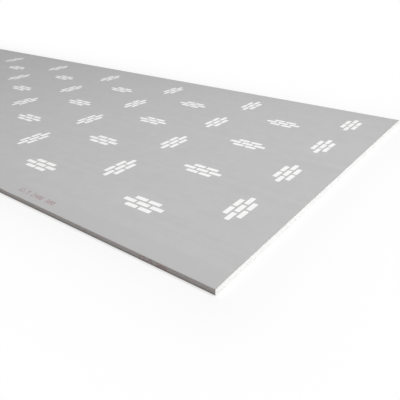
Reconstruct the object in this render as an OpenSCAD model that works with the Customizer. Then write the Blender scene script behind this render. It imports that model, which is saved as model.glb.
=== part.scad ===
// Drywall sheet: a gypsum core between two papers, lying flat with its grey printed face up.
// The origin is the middle of the back. X runs along the sheet, Y across it, Z up through it.
// The two ends across X are square cuts that show the core. The two long edges are wrapped.

/* [Board] */
// Length of the sheet, along its wrapped edges
board_length = 2400; // [1800:50:3600]
// Width of the sheet, along its cut ends
board_width = 900; // [600:10:1250]
// Thickness of the untapered middle, both papers included
board_thickness = 12.5; // [9.5:0.5:25]

/* [Papers] */
// Thickness of the face paper
face_paper_thickness = 0.35; // [0.25:0.05:0.5]
// Thickness of the back paper
back_paper_thickness = 0.35; // [0.25:0.05:0.5]
// Width of face paper that is turned under each long edge, onto the back of the core
turn_under_width = 25; // [18:1:40]
// How far short of each long edge the back paper stops
back_paper_setback = 9; // [4:1:12]

/* [Long edges] */
// Width of the shallow taper that leaves room for joint filler
taper_width = 45; // [30:1:70]
// How much lower the face lies at the long edge than in the middle
taper_depth = 0.8; // [0.3:0.1:2]
// Outside radius where the face paper rolls down onto the long edge
face_arris_radius = 1.5; // [1:0.1:3]
// Outside radius where it rolls under onto the back
back_arris_radius = 1.2; // [0.8:0.1:2.5]

/* [Hidden] */

face_grey = [0.74, 0.74, 0.745];
gypsum_white = [0.97, 0.97, 0.96];
back_grey = [0.63, 0.60, 0.55];

half_width = board_width / 2;
taper_angle = atan(taper_depth / taper_width);
// Flats round each arris, few enough for papers this thin to stay clean
arris_flats = 6;

// The turned-under paper lies on the back paper, and the core is stepped up over it
turn_under_start = half_width - turn_under_width;
turn_under_bottom = back_paper_thickness;

// Where the taper leaves the flat of the face
taper_start = half_width - taper_width;

// Both arris centres stand in from the long edge by their own radius
taper_height_over_arris = board_thickness - (taper_width - face_arris_radius) * tan(taper_angle);
face_arris_centre = [
    half_width - face_arris_radius,
    taper_height_over_arris - face_arris_radius / cos(taper_angle)
];
back_arris_centre = [half_width - back_arris_radius, turn_under_bottom + back_arris_radius];

// Points of an arc about a centre, from one angle to another
function arc(centre, radius, from, to) = [
    for (i = [0 : arris_flats])
        let (a = from + (to - from) * i / arris_flats)
            centre + radius * [cos(a), sin(a)]
];

// The wrapped edge on the +Y side, drawn at an inset from the outside of the face paper:
// from the start of the taper, down round both arrises and under to the paper's own edge
function wrapped_edge(inset) = concat(
    [[taper_start - inset * tan(taper_angle / 2), board_thickness - inset]],
    arc(face_arris_centre, face_arris_radius - inset, 90 - taper_angle, 0),
    arc(back_arris_centre, back_arris_radius - inset, 0, -90),
    [[turn_under_start, turn_under_bottom + inset]]
);

function reversed(points) = [for (i = [len(points) - 1 : -1 : 0]) points[i]];

// A half outline continued across the sheet by its own mirror image
function both_edges(points) = concat(
    [for (p = reversed(points)) [-p.x, p.y]],
    points
);

// A cross-section, drawn in Y and Z, run the whole length of the sheet
module along_the_board(section) {
    translate([-board_length / 2, 0, 0])
        rotate([90, 0, 90])
            linear_extrude(height = board_length)
                polygon(section);
}

// Fills the face paper's wrap, and steps down past the paper's edges onto the back paper
module gypsum_core() {
    inside_the_wrap = wrapped_edge(face_paper_thickness);
    step_down = [[turn_under_start, back_paper_thickness]];
    color(gypsum_white)
        along_the_board(both_edges(concat(inside_the_wrap, step_down)));
}

// One paper over the face, both long edges and a strip of the back
module face_paper() {
    outside = both_edges(wrapped_edge(0));
    inside = both_edges(wrapped_edge(face_paper_thickness));
    color(face_grey)
        along_the_board(concat(outside, reversed(inside)));
}

// The paper that the sheet lies on, glued over the turned-under strips
module back_paper() {
    edge = half_width - back_paper_setback;
    color(back_grey)
        along_the_board([
            [-edge, 0],
            [edge, 0],
            [edge, back_paper_thickness],
            [-edge, back_paper_thickness]
        ]);
}

gypsum_core();
face_paper();
back_paper();
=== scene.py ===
import math

import bmesh
import bpy
import numpy as np
from mathutils import Matrix, Vector


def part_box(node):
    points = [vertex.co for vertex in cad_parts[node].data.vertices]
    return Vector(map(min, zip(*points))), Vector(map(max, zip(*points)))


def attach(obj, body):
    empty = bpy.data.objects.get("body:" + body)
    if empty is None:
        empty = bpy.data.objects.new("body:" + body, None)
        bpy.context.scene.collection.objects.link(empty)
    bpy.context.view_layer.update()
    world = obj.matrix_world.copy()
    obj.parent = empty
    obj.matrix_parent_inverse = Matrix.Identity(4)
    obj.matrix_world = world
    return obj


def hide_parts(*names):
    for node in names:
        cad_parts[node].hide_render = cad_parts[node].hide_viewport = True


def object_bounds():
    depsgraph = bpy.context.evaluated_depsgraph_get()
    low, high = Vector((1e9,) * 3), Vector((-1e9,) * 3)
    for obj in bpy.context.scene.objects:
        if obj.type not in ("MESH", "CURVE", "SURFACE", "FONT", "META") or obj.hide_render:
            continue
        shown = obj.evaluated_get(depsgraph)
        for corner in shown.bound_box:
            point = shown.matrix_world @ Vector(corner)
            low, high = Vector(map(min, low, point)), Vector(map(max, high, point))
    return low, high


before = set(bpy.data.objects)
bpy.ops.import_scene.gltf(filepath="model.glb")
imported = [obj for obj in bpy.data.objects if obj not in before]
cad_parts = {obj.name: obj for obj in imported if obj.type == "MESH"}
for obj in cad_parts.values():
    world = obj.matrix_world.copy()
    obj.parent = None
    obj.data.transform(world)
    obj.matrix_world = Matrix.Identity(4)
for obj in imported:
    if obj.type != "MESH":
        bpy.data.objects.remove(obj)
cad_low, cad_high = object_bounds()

# The camera looks down on the sheet from beyond its near corner, so that the printed face
# fills the picture and runs off it to the left, with the near long edge and a cut end in view.
# Its place and angles come from the outline of the sheet in the photograph.
half_length = cad_high.x
half_width = cad_high.y
camera_data = bpy.data.cameras.new("camera")
camera_data.sensor_width = 36.0
camera_data.lens = 40.37
camera_data.clip_start = 0.02
camera_data.clip_end = 60.0
camera = bpy.data.objects.new("camera", camera_data)
bpy.context.scene.collection.objects.link(camera)
beyond_cut_end = 0.2825
out_from_long_edge = 0.4058
camera_height = 0.4260
turned_left = math.radians(37.17)
looking_down = math.radians(28.66)
tilt = math.radians(-0.76)
camera.matrix_world = (
    Matrix.Translation(
        (half_length + beyond_cut_end, -half_width - out_from_long_edge, camera_height)
    )
    @ Matrix.Rotation(turned_left, 4, "Z")
    @ Matrix.Rotation(math.pi / 2 - looking_down, 4, "X")
    @ Matrix.Rotation(tilt, 4, "Z")
)
bpy.context.scene.camera = camera


# The gypsum core: one slab of white foamed plaster, cast between the papers and cut to length
# once it has set. Its two cut ends are the only bare plaster, a little rough and full of pores.
def add_node(tree, kind, inputs=None, **settings):
    """A new node of one kind, with its settings made and its inputs filled or linked."""
    made = tree.nodes.new(kind)
    for name, value in settings.items():
        setattr(made, name, value)
    for key, value in (inputs or {}).items():
        if isinstance(value, bpy.types.NodeSocket):
            tree.links.new(value, made.inputs[key])
        else:
            made.inputs[key].default_value = value
    return made


def maths(tree, operation, *values):
    """The result of one arithmetic step on numbers or other nodes' results."""
    return add_node(
        tree, "ShaderNodeMath", dict(enumerate(values)), operation=operation
    ).outputs[0]


def fade(tree, value, start, end, low=0.0, high=1.0):
    """Runs smoothly from low to high as value goes from start to end."""
    inputs = {"Value": value, "From Min": start, "From Max": end, "To Min": low, "To Max": high}
    return add_node(
        tree, "ShaderNodeMapRange", inputs, interpolation_type="SMOOTHSTEP"
    ).outputs["Result"]


def parts_of(tree, vector):
    """The x, y and z of a vector."""
    return add_node(tree, "ShaderNodeSeparateXYZ", {0: vector}).outputs


def vector_of(tree, **parts):
    """The vector with these parts, named X, Y and Z. A part that isn't given is 0."""
    return add_node(tree, "ShaderNodeCombineXYZ", parts).outputs[0]


def stretched(tree, coordinates, scale):
    """The coordinates multiplied along each axis, as for a pattern with a direction."""
    return add_node(
        tree, "ShaderNodeVectorMath", {0: coordinates, 1: scale}, operation="MULTIPLY"
    ).outputs[0]


def noise(tree, coordinates, scale, detail=2.0, roughness=0.5):
    """Soft noise from 0 to 1, with about scale patches to the metre."""
    inputs = {"Vector": coordinates, "Scale": scale, "Detail": detail, "Roughness": roughness}
    return add_node(tree, "ShaderNodeTexNoise", inputs).outputs[0]


def new_finish(name, base_colour, roughness, specular):
    """A material with its shader, and the object's own coordinates for its patterns."""
    material = bpy.data.materials.new(name)
    material.use_nodes = True
    tree = material.node_tree
    shader = tree.nodes["Principled BSDF"]
    shader.inputs["Base Color"].default_value = (*base_colour, 1.0)
    shader.inputs["Roughness"].default_value = roughness
    shader.inputs["Specular IOR Level"].default_value = specular
    material.diffuse_color = (*base_colour, 1.0)
    return material, tree, shader, add_node(tree, "ShaderNodeTexCoord").outputs["Object"]


def blended(tree, amount, first, second):
    """The first colour mixed towards the second by amount."""
    inputs = {"Factor": amount}
    mix = add_node(tree, "ShaderNodeMix", inputs, data_type="RGBA")
    for socket, colour in ((mix.inputs[6], first), (mix.inputs[7], second)):
        if isinstance(colour, bpy.types.NodeSocket):
            tree.links.new(colour, socket)
        else:
            socket.default_value = (*colour, 1.0)
    return mix.outputs[2]


def add_relief(tree, shader, pattern, strength, depth):
    """Gives a finish fine relief from a pattern, too small to be in the mesh."""
    inputs = {"Height": pattern, "Strength": strength, "Distance": depth}
    bump = add_node(tree, "ShaderNodeBump", inputs)
    tree.links.new(bump.outputs["Normal"], shader.inputs["Normal"])


def new_piece(name, mesh):
    """An object for a finished mesh, at the origin, its place being in the mesh."""
    piece = bpy.data.objects.new(name, mesh)
    bpy.context.scene.collection.objects.link(piece)
    return piece


def new_tree(name, sizes):
    """An empty geometry tree, with its named sizes as inputs: the tree, its input and output."""
    tree = bpy.data.node_groups.new(name, "GeometryNodeTree")
    tree.interface.new_socket("Geometry", in_out="INPUT", socket_type="NodeSocketGeometry")
    for size, kind in sizes.items():
        tree.interface.new_socket(size, in_out="INPUT", socket_type=f"NodeSocket{kind}")
    tree.interface.new_socket("Geometry", in_out="OUTPUT", socket_type="NodeSocketGeometry")
    given = tree.nodes.new("NodeGroupInput").outputs
    return tree, given, tree.nodes.new("NodeGroupOutput").inputs["Geometry"]


def coated(tree, geometry, finish):
    """The geometry made real and given its finish, as a tree's last steps."""
    whole = add_node(tree, "GeometryNodeRealizeInstances", {"Geometry": geometry})
    inputs = {"Geometry": whole.outputs[0], "Material": finish}
    return add_node(tree, "GeometryNodeSetMaterial", inputs).outputs[0]


def grow(piece, tree, sizes):
    """Runs the tree on the piece with these sizes and keeps the result as its plain mesh."""
    modifier = piece.modifiers.new(tree.name, "NODES")
    modifier.node_group = tree
    for socket in tree.interface.items_tree:
        if socket.in_out == "INPUT" and socket.name in sizes:
            modifier[socket.identifier] = sizes[socket.name]
    bpy.context.view_layer.update()
    shown = piece.evaluated_get(bpy.context.evaluated_depsgraph_get())
    mesh = bpy.data.meshes.new_from_object(shown)
    piece.modifiers.remove(modifier)
    old = piece.data
    piece.data = mesh
    bpy.data.meshes.remove(old)
    mesh.name = piece.name
    if mesh.materials[0] is None:
        mesh.materials.pop(index=0)


thickness = cad_high.z
hair = 1e-6
to_a_micrometre = 6


def end_outline(node):
    """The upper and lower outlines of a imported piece's cut end, as rows of (y, z)."""
    corners = {
        (round(v.co.y, to_a_micrometre), round(v.co.z, to_a_micrometre))
        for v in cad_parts[node].data.vertices
        if half_length - v.co.x < hair
    }
    middle = thickness / 2
    upper = np.array(sorted(c for c in corners if c[1] > middle))
    lower = np.array(sorted(c for c in corners if c[1] < middle))
    return upper, lower


core_low, core_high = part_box("gypsum_core")
upper_outline, lower_outline = end_outline("gypsum_core")

# The underside of the core steps up where it passes onto the turned-under face paper. That step
# is upright, so its two corners are parted a little: each place across then has one height.
paper_step = max(y for y, z in lower_outline if z < core_low.z + hair)
parting = 1e-5


def parted(y, z):
    """The place across of a corner of the lower outline, moved off the upright step."""
    if abs(abs(y) - paper_step) >= hair:
        return y
    return y + math.copysign(parting, -y if z < core_low.z + hair else y)


grain_pitch = 0.0006
rows_up_the_end = 20
grains_across = round((core_high.y - core_low.y) / grain_pitch)
beside_step = np.array([paper_step - parting, paper_step + parting])
stations = np.linspace(core_low.y, core_high.y, grains_across + 1)
stations = np.sort(np.concatenate([stations, -beside_step, beside_step]))
lower_corners = sorted((parted(y, z), z) for y, z in lower_outline)
bottom_of_core = np.interp(stations, *np.transpose(lower_corners))
top_of_core = np.interp(stations, *upper_outline.T)

heights = np.linspace(0.0, 1.0, rows_up_the_end + 1)
end_z = bottom_of_core[:, None] + (top_of_core - bottom_of_core)[:, None] * heights
end_y = np.broadcast_to(stations[:, None], end_z.shape)
ends = [
    np.stack([np.full(end_z.shape, x), end_y, end_z], axis=-1).reshape(-1, 3)
    for x in (half_length, -half_length)
]
points_per_end = end_z.size
point = np.arange(points_per_end).reshape(end_z.shape)
corners = (point[:-1, :-1], point[1:, :-1], point[1:, 1:], point[:-1, 1:])
near_end = np.stack(corners, axis=-1).reshape(-1, 4)
far_end = near_end[:, ::-1] + points_per_end


def run_between(rim):
    """Faces from one cut end to the other, along a rim of the near end's points."""
    far = rim + points_per_end
    return np.stack([rim[:-1], far[:-1], far[1:], rim[1:]], axis=-1)


faces = np.concatenate([
    near_end,
    far_end,
    run_between(point[:, 0]),
    run_between(point[-1, :]),
    run_between(point[::-1, -1]),
    run_between(point[0, ::-1]),
])
core_mesh = bpy.data.meshes.new("gypsum_core_cut")
core_mesh.from_pydata(np.concatenate(ends).tolist(), [], faces.tolist())
core = new_piece("gypsum_core_cut", core_mesh)

# The knife leaves the end a little wavy and finely torn, and opens the bubbles that it crosses.
plaster_white = (0.935, 0.935, 0.925)
plaster_dull = (0.925, 0.925, 0.912)
plaster_bright = (0.95, 0.95, 0.943)
speck_grey = (0.80, 0.795, 0.78)
gypsum, tree, shader, place = new_finish(
    "white_plaster", plaster_white, roughness=0.95, specular=0.1
)
patches = noise(tree, place, 90.0, detail=4.0, roughness=0.6)
specks = fade(tree, noise(tree, place, 1400.0, detail=1.0), 0.66, 0.74)
plaster = blended(tree, patches, plaster_dull, plaster_bright)
plaster = blended(tree, maths(tree, "MULTIPLY", specks, 0.2), plaster, speck_grey)
tree.links.new(plaster, shader.inputs["Base Color"])
crumb = noise(tree, place, 2600.0, detail=3.0, roughness=0.65)
add_relief(tree, shader, crumb, strength=0.3, depth=0.0001)

tree, given, finished = new_tree("cut_plaster", {
    "Wave": "Float", "Tear": "Float", "Grain": "Float", "Pore Depth": "Float",
    "Pore Pitch": "Float", "Pore Share": "Float", "Plaster": "Material",
})
place = add_node(tree, "GeometryNodeInputPosition").outputs[0]
across = stretched(tree, place, (1.0, 1.0, 0.12))
wave = maths(tree, "MULTIPLY", noise(tree, across, 35.0, detail=1.0), given["Wave"])
tear = maths(tree, "MULTIPLY", noise(tree, across, 420.0), given["Tear"])
grain = maths(tree, "MULTIPLY", noise(tree, place, 900.0), given["Grain"])
cells = add_node(
    tree, "ShaderNodeTexVoronoi",
    {"Vector": place, "Scale": maths(tree, "DIVIDE", 1.0, given["Pore Pitch"])},
)
cell_chance = parts_of(tree, cells.outputs["Color"])[0]
mostly_small = maths(tree, "POWER", cell_chance, 2.0)
pore_reach = maths(tree, "MULTIPLY", mostly_small, given["Pore Share"])
pore = fade(tree, cells.outputs["Distance"], pore_reach, 0.0)
pore = maths(tree, "MULTIPLY", pore, given["Pore Depth"])
depth = maths(tree, "ADD", maths(tree, "ADD", wave, tear), maths(tree, "ADD", grain, pore))
end_side = maths(tree, "SIGN", parts_of(tree, place)[0])
inward = maths(tree, "MULTIPLY", maths(tree, "MULTIPLY", end_side, depth), -1.0)
moved = add_node(tree, "GeometryNodeSetPosition", {
    "Geometry": given["Geometry"], "Offset": vector_of(tree, X=inward),
})
tree.links.new(coated(tree, moved.outputs[0], given["Plaster"]), finished)
grow(core, tree, {
    "Wave": 0.00015, "Tear": 0.0001, "Grain": 0.00006, "Pore Depth": 0.0005,
    "Pore Pitch": 0.0026, "Pore Share": 0.45, "Plaster": gypsum,
})
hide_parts("gypsum_core")
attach(core, "root")


# The face paper: one smooth grey printed paper over the face, both long edges and a strip of
# the back. It is folded round the wet core, so its edges roll over and lie a little wavy, and
# the knife leaves its ends slightly ragged, with the brown plies inside the paper showing.
ink_thickness = 0.00005
frayed_length = 0.0012
fray_pitch = 0.0025


def paper_from(node, name, cuts_across):
    """A packed paper as one closed mesh, cut across its length and finely along its ends."""
    sheet = bmesh.new()
    sheet.from_mesh(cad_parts[node].data)
    bmesh.ops.remove_doubles(sheet, verts=sheet.verts, dist=hair)
    bmesh.ops.dissolve_limit(
        sheet, angle_limit=math.radians(0.1), verts=sheet.verts, edges=sheet.edges
    )

    def cut(faces, point, normal):
        """Splits these faces where they cross the plane through point."""
        edges = dict.fromkeys(edge for face in faces for edge in face.edges)
        corners = dict.fromkeys(corner for face in faces for corner in face.verts)
        bmesh.ops.bisect_plane(
            sheet, geom=[*faces, *edges, *corners], dist=0.1 * hair,
            plane_co=point, plane_no=normal,
        )

    inner_end = half_length - frayed_length
    for x in np.linspace(-inner_end, inner_end, cuts_across):
        cut(sheet.faces, (x, 0, 0), (1, 0, 0))
    width = max(v.co.y for v in sheet.verts)
    for y in np.arange(-width + fray_pitch, width, fray_pitch):
        strips = [f for f in sheet.faces if abs(f.calc_center_median().x) > inner_end]
        cut(strips, (0, y, 0), (0, 1, 0))
    mesh = bpy.data.meshes.new(name)
    sheet.to_mesh(mesh)
    sheet.free()
    return new_piece(name, mesh)


tree, given, finished = new_tree("paper_relief", {
    "Half Length": "Float", "Half Width": "Float", "Frayed Length": "Float", "Fray": "Float",
    "Edge Wave": "Float", "Edge Inset": "Float", "Face Height": "Float",
    "Paper": "Material", "Plies": "Material",
})
paper_tree = tree
place = add_node(tree, "GeometryNodeInputPosition").outputs[0]
x, y, z = parts_of(tree, place)
from_end = maths(tree, "SUBTRACT", given["Half Length"], maths(tree, "ABSOLUTE", x))
at_end = maths(tree, "LESS_THAN", from_end, maths(tree, "MULTIPLY", given["Frayed Length"], 0.5))
torn = noise(tree, place, 160.0, detail=4.0, roughness=0.7)
ragged = maths(tree, "MULTIPLY", torn, given["Fray"])
along = maths(tree, "MULTIPLY", maths(tree, "MULTIPLY", ragged, at_end), maths(tree, "SIGN", x))
from_edge = maths(tree, "SUBTRACT", given["Half Width"], maths(tree, "ABSOLUTE", y))
edge_reach = 0.0001
on_edge = maths(tree, "LESS_THAN", from_edge, edge_reach)
lengthways = stretched(tree, place, (1.0, 1.0, 6.0))
waves = maths(tree, "MULTIPLY", noise(tree, lengthways, 11.0), given["Edge Wave"])
waves = maths(tree, "ADD", waves, given["Edge Inset"])
sideways = maths(tree, "MULTIPLY", maths(tree, "MULTIPLY", waves, on_edge), maths(tree, "SIGN", y))
above_face = maths(tree, "SUBTRACT", z, given["Face Height"])
downward = maths(tree, "MAXIMUM", above_face, 0.0)
inwards = stretched(tree, vector_of(tree, X=along, Y=sideways, Z=downward), (-1.0, -1.0, -1.0))
moved = add_node(tree, "GeometryNodeSetPosition", {
    "Geometry": given["Geometry"], "Offset": inwards,
})
facing = parts_of(tree, add_node(tree, "GeometryNodeInputNormal").outputs[0])
is_cut = maths(tree, "GREATER_THAN", maths(tree, "ABSOLUTE", facing[0]), 0.5)
plied = add_node(tree, "GeometryNodeSetMaterial", {
    "Geometry": coated(tree, moved.outputs[0], given["Paper"]),
    "Selection": is_cut, "Material": given["Plies"],
})
tree.links.new(plied.outputs[0], finished)


def drawn_noise(tree, coordinates, patches, detail=2.0, roughness=0.5):
    """Noise drawn out along the sheet or across it: its patches to the metre on each axis."""
    return noise(tree, stretched(tree, coordinates, patches), 1.0, detail, roughness)


face_grey = (0.565, 0.563, 0.564)
face_grey_dark = (0.522, 0.519, 0.520)
# The taper's grey is painted shade for its slight tilt away from the light.
taper_painted_shade = (0.530, 0.528, 0.528)
# Edge greys: the top one is the paper's own warmer tone, a little darkened as painted shade; the
# bottom one is deeper painted shade.
edge_grey_top = (0.510, 0.476, 0.463)
edge_painted_shade_bottom = (0.255, 0.238, 0.230)
face_finish, tree, shader, place = new_finish(
    "grey_face_paper", face_grey, roughness=0.8, specular=0.1
)
clouds = noise(tree, place, 38.0, detail=3.0, roughness=0.55)
streaks = drawn_noise(tree, place, (1.2, 90.0, 90.0), detail=3.0, roughness=0.6)
fibres = drawn_noise(tree, place, (260.0, 900.0, 900.0), roughness=0.6)
cross_fibres = drawn_noise(tree, place, (900.0, 300.0, 300.0), roughness=0.6)
mottle = maths(tree, "MULTIPLY", maths(tree, "ADD", clouds, streaks), 0.35)
felt = maths(tree, "MULTIPLY", maths(tree, "ADD", fibres, cross_fibres), 0.15)
mottle = maths(tree, "ADD", mottle, felt)
grey = blended(tree, fade(tree, mottle, 0.3, 0.7), face_grey_dark, face_grey)

x, y, z = parts_of(tree, place)
from_middle = maths(tree, "ABSOLUTE", y)
# The tapered strip beside each long edge is painted a little darker, as painted shade for its
# slight tilt away from the light.
taper_begins = half_width - 0.048
taper_fully_shaded = half_width - 0.040
on_taper = fade(tree, from_middle, taper_begins, taper_fully_shaded, high=0.5)
grey = blended(tree, on_taper, grey, taper_painted_shade)
# The long edges: the same paper in a warmer grey, with painted shade that darkens it towards the
# bottom.
painted_shade_height = 0.55 * thickness
edge_grey_and_painted_shade = blended(tree, fade(tree, z, 0.0, painted_shade_height), edge_painted_shade_bottom, edge_grey_top)
roll_begins = half_width - 0.0013
roll_ends = half_width - 0.0002
grey = blended(tree, fade(tree, from_middle, roll_begins, roll_ends), grey, edge_grey_and_painted_shade)
tree.links.new(grey, shader.inputs["Base Color"])
fuzz = maths(tree, "ADD", fibres, maths(tree, "MULTIPLY", cross_fibres, 0.6))
add_relief(tree, shader, fuzz, strength=0.35, depth=0.00008)

ply_brown = (0.42, 0.38, 0.33)
ply_dark = (0.36, 0.32, 0.27)
ply_pale = (0.52, 0.48, 0.43)
ply_finish, tree, shader, place = new_finish(
    "paper_plies", ply_brown, roughness=0.9, specular=0.2
)
plies = drawn_noise(tree, place, (1.0, 30.0, 9000.0))
tree.links.new(blended(tree, plies, ply_dark, ply_pale), shader.inputs["Base Color"])

face_paper = paper_from("face_paper", "face_paper_wrap", cuts_across=121)
grow(face_paper, paper_tree, {
    "Half Length": half_length, "Half Width": half_width, "Frayed Length": frayed_length,
    "Fray": 0.0003, "Edge Wave": 0.00014, "Edge Inset": ink_thickness,
    "Face Height": thickness - ink_thickness, "Paper": face_finish, "Plies": ply_finish,
})
face_paper.data.shade_smooth()
face_paper.data.set_sharp_from_angle(angle=math.radians(35))
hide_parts("face_paper")
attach(face_paper, "root")


# The back paper: rough grey-brown paper made from old paper, glued over the back of the core and
# over the turned-under strips of face paper. The sheet lies on it.
back_brown = (0.33, 0.30, 0.26)
back_brown_dark = (0.29, 0.262, 0.225)
back_brown_pale = (0.375, 0.345, 0.30)
dark_fleck = (0.16, 0.14, 0.12)
pale_fleck = (0.56, 0.53, 0.47)
back_finish, tree, shader, place = new_finish(
    "brown_back_paper", back_brown, roughness=0.88, specular=0.15
)
clouds = noise(tree, place, 26.0, detail=4.0, roughness=0.6)
streaks = drawn_noise(tree, place, (1.5, 70.0, 70.0), detail=3.0, roughness=0.6)
fibres = drawn_noise(tree, place, (300.0, 1100.0, 1100.0), roughness=0.6)
shavings = drawn_noise(tree, place, (700.0, 260.0, 260.0), detail=1.0)
mottle = maths(tree, "MULTIPLY", maths(tree, "ADD", clouds, streaks), 0.5)
brown = blended(tree, fade(tree, mottle, 0.3, 0.7), back_brown_dark, back_brown_pale)
dark_flecks = maths(tree, "MULTIPLY", fade(tree, fibres, 0.66, 0.74), 0.6)
pale_flecks = maths(tree, "MULTIPLY", fade(tree, shavings, 0.70, 0.78), 0.6)
brown = blended(tree, dark_flecks, brown, dark_fleck)
brown = blended(tree, pale_flecks, brown, pale_fleck)
tree.links.new(brown, shader.inputs["Base Color"])
add_relief(tree, shader, fibres, strength=0.5, depth=0.00012)

back_paper = paper_from("back_paper", "back_paper_lap", cuts_across=41)
grow(back_paper, paper_tree, {
    "Half Length": half_length, "Half Width": half_width, "Frayed Length": frayed_length,
    "Fray": 0.0003, "Edge Wave": 0.0, "Edge Inset": ink_thickness,
    "Face Height": thickness, "Paper": back_finish, "Plies": ply_finish,
})
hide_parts("back_paper")
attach(back_paper, "root")


# The pale prints: small blocks of bricks in white ink, printed on the face paper in staggered
# rows across the sheet. Those of every other row are turned a quarter.
ink_white = (0.95, 0.95, 0.945)
ink_full = (0.955, 0.955, 0.95)
ink_thin = (0.78, 0.78, 0.78)
white_ink, tree, shader, place = new_finish("white_ink", ink_white, roughness=0.6, specular=0.3)
pinholes = fade(tree, noise(tree, place, 700.0, roughness=0.6), 0.62, 0.78)
pinholes = maths(tree, "MULTIPLY", pinholes, 0.4)
tree.links.new(blended(tree, pinholes, ink_full, ink_thin), shader.inputs["Base Color"])

tree, given, finished = new_tree("brick_prints", {
    "Brick Length": "Float", "Brick Height": "Float", "Joint": "Float", "Corner": "Float",
    "Ink Thickness": "Float", "Ink": "Material",
})
outline = add_node(tree, "GeometryNodeCurvePrimitiveQuadrilateral", {
    "Width": given["Brick Length"], "Height": given["Brick Height"],
})
rounded = add_node(
    tree, "GeometryNodeFilletCurve",
    {"Curve": outline.outputs[0], "Radius": given["Corner"], "Count": 3}, mode="POLY",
)
filled = add_node(tree, "GeometryNodeFillCurve", {"Curve": rounded.outputs[0]}, mode="NGONS")
raised = add_node(
    tree, "GeometryNodeExtrudeMesh",
    {"Mesh": filled.outputs[0], "Offset Scale": given["Ink Thickness"], "Individual": False},
)
underside = add_node(tree, "GeometryNodeFlipFaces", {"Mesh": filled.outputs[0]})
both = add_node(tree, "GeometryNodeJoinGeometry")
tree.links.new(underside.outputs[0], both.inputs[0])
tree.links.new(raised.outputs["Mesh"], both.inputs[0])
brick = add_node(
    tree, "GeometryNodeMergeByDistance", {"Geometry": both.outputs[0], "Distance": hair}
)
brick_pitch = maths(tree, "ADD", given["Brick Length"], given["Joint"])
course_pitch = maths(tree, "ADD", given["Brick Height"], given["Joint"])
courses = add_node(tree, "GeometryNodeJoinGeometry")
bricks_by_course = (2, 3, 2)
for course, bricks in enumerate(bricks_by_course):
    first = maths(tree, "MULTIPLY", brick_pitch, -(bricks - 1) / 2)
    height = maths(tree, "MULTIPLY", course_pitch, course - (len(bricks_by_course) - 1) / 2)
    row = add_node(tree, "GeometryNodeMeshLine", {
        "Count": bricks, "Start Location": vector_of(tree, X=first, Y=height),
        "Offset": vector_of(tree, X=brick_pitch),
    }, mode="OFFSET")
    tree.links.new(row.outputs[0], courses.inputs[0])
block = add_node(
    tree, "GeometryNodeInstanceOnPoints",
    {"Points": courses.outputs[0], "Instance": brick.outputs[0]},
)
turns = add_node(
    tree, "GeometryNodeInputNamedAttribute", {"Name": "quarter_turns"}, data_type="INT"
)
turned = maths(tree, "MULTIPLY", turns.outputs[0], math.pi / 2)
prints = add_node(tree, "GeometryNodeInstanceOnPoints", {
    "Points": given["Geometry"], "Instance": block.outputs[0],
    "Rotation": vector_of(tree, Z=turned),
})
tree.links.new(coated(tree, prints.outputs[0], given["Ink"]), finished)

print_pitch_along = 0.158
print_pitch_across = 0.188
stagger = 0.5 * print_pitch_across
off_middle = 0.25 * print_pitch_across
clear_margin = 0.075
print_places = []
quarter_turns = []
rows_each_way = int((half_length - clear_margin) / print_pitch_along)
prints_each_way = int(half_width / print_pitch_across) + 1
for row in range(-rows_each_way, rows_each_way + 1):
    is_odd = row % 2
    for step in range(-prints_each_way, prints_each_way):
        y = step * print_pitch_across + is_odd * stagger + off_middle
        if abs(y) < half_width - clear_margin:
            print_places.append((row * print_pitch_along, y, thickness - ink_thickness))
            quarter_turns.append(is_odd)
place_mesh = bpy.data.meshes.new("pale_prints")
place_mesh.from_pydata(print_places, [], [])
turn_of_each = place_mesh.attributes.new("quarter_turns", "INT", "POINT")
turn_of_each.data.foreach_set("value", quarter_turns)
pale_prints = new_piece("pale_prints", place_mesh)
grow(pale_prints, tree, {
    "Brick Length": 0.0295, "Brick Height": 0.0105, "Joint": 0.0045, "Corner": 0.002,
    "Ink Thickness": ink_thickness, "Ink": white_ink,
})
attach(pale_prints, "root")


# The inkjet numbers: rows of small dark red dots that a printer at the end of the line sprays
# on, once on the taper beside the near long edge and once on that edge, near the cut end.
# They are only the sheet's thickness, length and width in millimetres.
dots_across = 5
dots_up = 7
dot_figures = {
    "0": (" ### ", "#   #", "#  ##", "# # #", "##  #", "#   #", " ### "),
    "1": ("  #  ", " ##  ", "  #  ", "  #  ", "  #  ", "  #  ", " ### "),
    "2": (" ### ", "#   #", "    #", "  ## ", " #   ", "#    ", "#####"),
    "4": ("   # ", "  ## ", " # # ", "#  # ", "#####", "   # ", "   # "),
    "5": ("#####", "#    ", "#### ", "    #", "    #", "#   #", " ### "),
    "9": (" ### ", "#   #", "#   #", " ####", "    #", "#   #", " ### "),
    ".": ("     ", "     ", "     ", "     ", "     ", " ##  ", " ##  "),
    " ": (" " * dots_across,) * dots_up,
}
red = (0.23, 0.015, 0.050)
red_deep = (0.19, 0.006, 0.035)
red_thin = (0.27, 0.026, 0.068)
red_ink, tree, shader, place = new_finish("red_ink", red, roughness=0.7, specular=0.3)
soaked = noise(tree, place, 900.0)
tree.links.new(blended(tree, soaked, red_deep, red_thin), shader.inputs["Base Color"])

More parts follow.
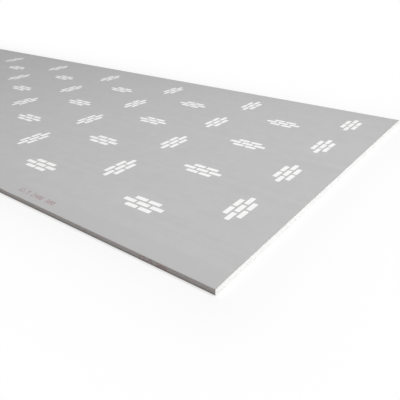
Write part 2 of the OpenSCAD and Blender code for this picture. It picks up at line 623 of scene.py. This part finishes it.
tree, given, finished = new_tree("inkjet_dots", {
    "Paper": "Object", "Spray": "Vector", "Dot Width": "Float", "Ink Thickness": "Float",
    "Scatter": "Float", "Seed": "Int", "Ink": "Material",
})
dot_tree = tree
scatter = add_node(tree, "FunctionNodeRandomValue", {
    "Min": (-1.0, -1.0, -1.0), "Max": (1.0, 1.0, 1.0), "Seed": given["Seed"],
}, data_type="FLOAT_VECTOR")
strayed = add_node(tree, "ShaderNodeVectorMath", {
    0: scatter.outputs[0], "Scale": given["Scatter"],
}, operation="SCALE")
aimed = add_node(tree, "GeometryNodeSetPosition", {
    "Geometry": given["Geometry"], "Offset": strayed.outputs[0],
})
paper = add_node(tree, "GeometryNodeObjectInfo", {"Object": given["Paper"]})
landed = add_node(tree, "GeometryNodeRaycast", {
    "Target Geometry": paper.outputs["Geometry"], "Ray Direction": given["Spray"],
    "Ray Length": 0.05,
})
on_paper = add_node(tree, "GeometryNodeSetPosition", {
    "Geometry": aimed.outputs[0], "Position": landed.outputs["Hit Position"],
})
dot = add_node(tree, "GeometryNodeMeshCylinder", {
    "Vertices": 8, "Radius": maths(tree, "MULTIPLY", given["Dot Width"], 0.5),
    "Depth": given["Ink Thickness"],
})
size = add_node(tree, "FunctionNodeRandomValue", {
    "Min": (0.85, 0.85, 0.7), "Max": (1.08, 1.08, 1.0), "Seed": given["Seed"],
}, data_type="FLOAT_VECTOR")
upright = add_node(
    tree, "FunctionNodeAlignRotationToVector", {"Vector": given["Spray"]}, axis="Z"
)
dots = add_node(tree, "GeometryNodeInstanceOnPoints", {
    "Points": on_paper.outputs[0], "Instance": dot.outputs["Mesh"],
    "Rotation": upright.outputs[0], "Scale": size.outputs[0],
})
tree.links.new(coated(tree, dots.outputs[0], given["Ink"]), finished)


def inkjet(name, figures, start, along, up, spray, dot_width, seed):
    """One line of dot figures sprayed onto the face paper, from start, by the dot steps given."""
    start, along, up = Vector(start), Vector(along), Vector(up)
    figure_step = dots_across + 1
    dots = [
        start + (figure_step * index + column) * along + (dots_up - 1 - row) * up
        for index, figure in enumerate(figures)
        for row, line in enumerate(dot_figures[figure])
        for column, mark in enumerate(line) if mark == "#"
    ]
    mesh = bpy.data.meshes.new(name)
    mesh.from_pydata(dots, [], [])
    line = new_piece(name, mesh)
    grow(line, dot_tree, {
        "Paper": face_paper, "Spray": spray, "Dot Width": dot_width,
        "Ink Thickness": ink_thickness, "Scatter": 0.00006, "Seed": seed, "Ink": red_ink,
    })
    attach(line, "root")


nozzle_gap = 0.002
inkjet(
    "face_numbers", "12.5 2400 900",
    start=(half_length - 0.503, -half_width + 0.0180, thickness + nozzle_gap),
    along=(0.00146, 0, 0), up=(0, 0.00165, 0), spray=(0.0, 0.0, -1.0),
    dot_width=0.0014, seed=3,
)
inkjet(
    "edge_numbers", "12.5 900",
    start=(half_length - 0.149, -half_width - nozzle_gap, 0.0020),
    along=(0.00127, 0, 0), up=(0, 0, 0.00125), spray=(0.0, 1.0, 0.0),
    dot_width=0.0011, seed=8,
)


# The floor under the sheet: a plain pale studio floor that keeps the sheet's soft shadow. Seen
# directly it is nearly white, and a little darker only close beside the sheet.
floor_mesh = bpy.data.meshes.new("floor")
reach = 14.0
floor_mesh.from_pydata(
    [(-reach, -reach, 0.0), (reach, -reach, 0.0), (reach, reach, 0.0), (-reach, reach, 0.0)],
    [], [(0, 1, 2, 3)],
)
floor = new_piece("floor", floor_mesh)
floor_pale = (0.90, 0.90, 0.90)
floor_finish, tree, shader, place = new_finish("floor", floor_pale, roughness=0.9, specular=0.1)
white = add_node(tree, "ShaderNodeEmission", {"Color": (1.0, 1.0, 1.0, 1.0), "Strength": 1.0})
beyond = add_node(tree, "ShaderNodeVectorMath", {
    0: add_node(tree, "ShaderNodeVectorMath", {0: place}, operation="ABSOLUTE").outputs[0],
    1: (half_length, half_width, 0.0),
}, operation="SUBTRACT")
outside = add_node(tree, "ShaderNodeVectorMath", {
    0: beyond.outputs[0], 1: (0.0, 0.0, 0.0),
}, operation="MAXIMUM")
distance = add_node(
    tree, "ShaderNodeVectorMath", {0: outside.outputs[0]}, operation="LENGTH"
).outputs["Value"]


def seen_directly(tree):
    """1 for rays from the camera or by way of a shiny or clear surface, 0 for the rest."""
    paths = add_node(tree, "ShaderNodeLightPath").outputs
    by_surface = maths(tree, "MAXIMUM", paths["Is Glossy Ray"], paths["Is Transmission Ray"])
    return maths(tree, "MAXIMUM", paths["Is Camera Ray"], by_surface)


shading_beside_sheet = 0.38
shading_halves_over = 0.05
shading = maths(
    tree, "MULTIPLY", shading_beside_sheet,
    maths(tree, "POWER", 0.5, maths(tree, "DIVIDE", distance, shading_halves_over)),
)
share = maths(tree, "MULTIPLY", seen_directly(tree), maths(tree, "SUBTRACT", 1.0, shading))
mixed = add_node(tree, "ShaderNodeMixShader", {
    0: share, 1: shader.outputs[0], 2: white.outputs[0],
})
tree.links.new(mixed.outputs[0], tree.nodes["Material Output"].inputs["Surface"])
floor.data.materials.append(floor_finish)


# The light: a broad soft sun from beyond the cut end and a little behind the sheet, so that the
# cut end is bright and the near long edge in soft shade, a softbox over that end, a low strip
# light for the far end, which the sun leaves in shade, and a pale room.
def new_lamp(name, kind, energy, place, aim):
    """A lamp of one kind at its place, shining towards its aim."""
    lamp = bpy.data.objects.new(name, bpy.data.lights.new(name, kind))
    lamp.data.energy = energy
    lamp.location = place
    lamp.rotation_mode = "QUATERNION"
    lamp.rotation_quaternion = (Vector(place) - Vector(aim)).to_track_quat("Z", "Y")
    bpy.context.scene.collection.objects.link(lamp)
    return lamp


sun_from = (0.68, 0.15, 0.72)
sun = new_lamp("sun", "SUN", energy=1.89, place=sun_from, aim=(0.0, 0.0, 0.0))
sun.data.angle = math.radians(28)

over_near_end = (half_length + 0.15, -0.1 * half_width)
softbox_height = 2.0
softbox = new_lamp(
    "softbox", "AREA", energy=18.0,
    place=(*over_near_end, softbox_height), aim=(*over_near_end, 0.0),
)
softbox.data.size = 1.2

beyond_far_end = 1.2
strip_height = 0.16
far_strip = new_lamp(
    "far_strip", "AREA", energy=10.0,
    place=(-half_length - beyond_far_end, 0.0, strip_height), aim=(-half_length, 0.0, 0.0),
)
far_strip.data.shape = "RECTANGLE"
far_strip.data.size = 1.0
far_strip.data.size_y = 0.28

light_from_room = 0.13
room_white = 1.0
world = bpy.data.worlds.new("room")
bpy.context.scene.world = world
world.use_nodes = True
tree = world.node_tree
room = tree.nodes["Background"]
room.inputs["Color"].default_value = (1.0, 1.0, 1.0, 1.0)
strength = fade(tree, seen_directly(tree), 0.0, 1.0, light_from_room, room_white)
tree.links.new(strength, room.inputs["Strength"])

bpy.context.scene.view_settings.view_transform = "Standard"
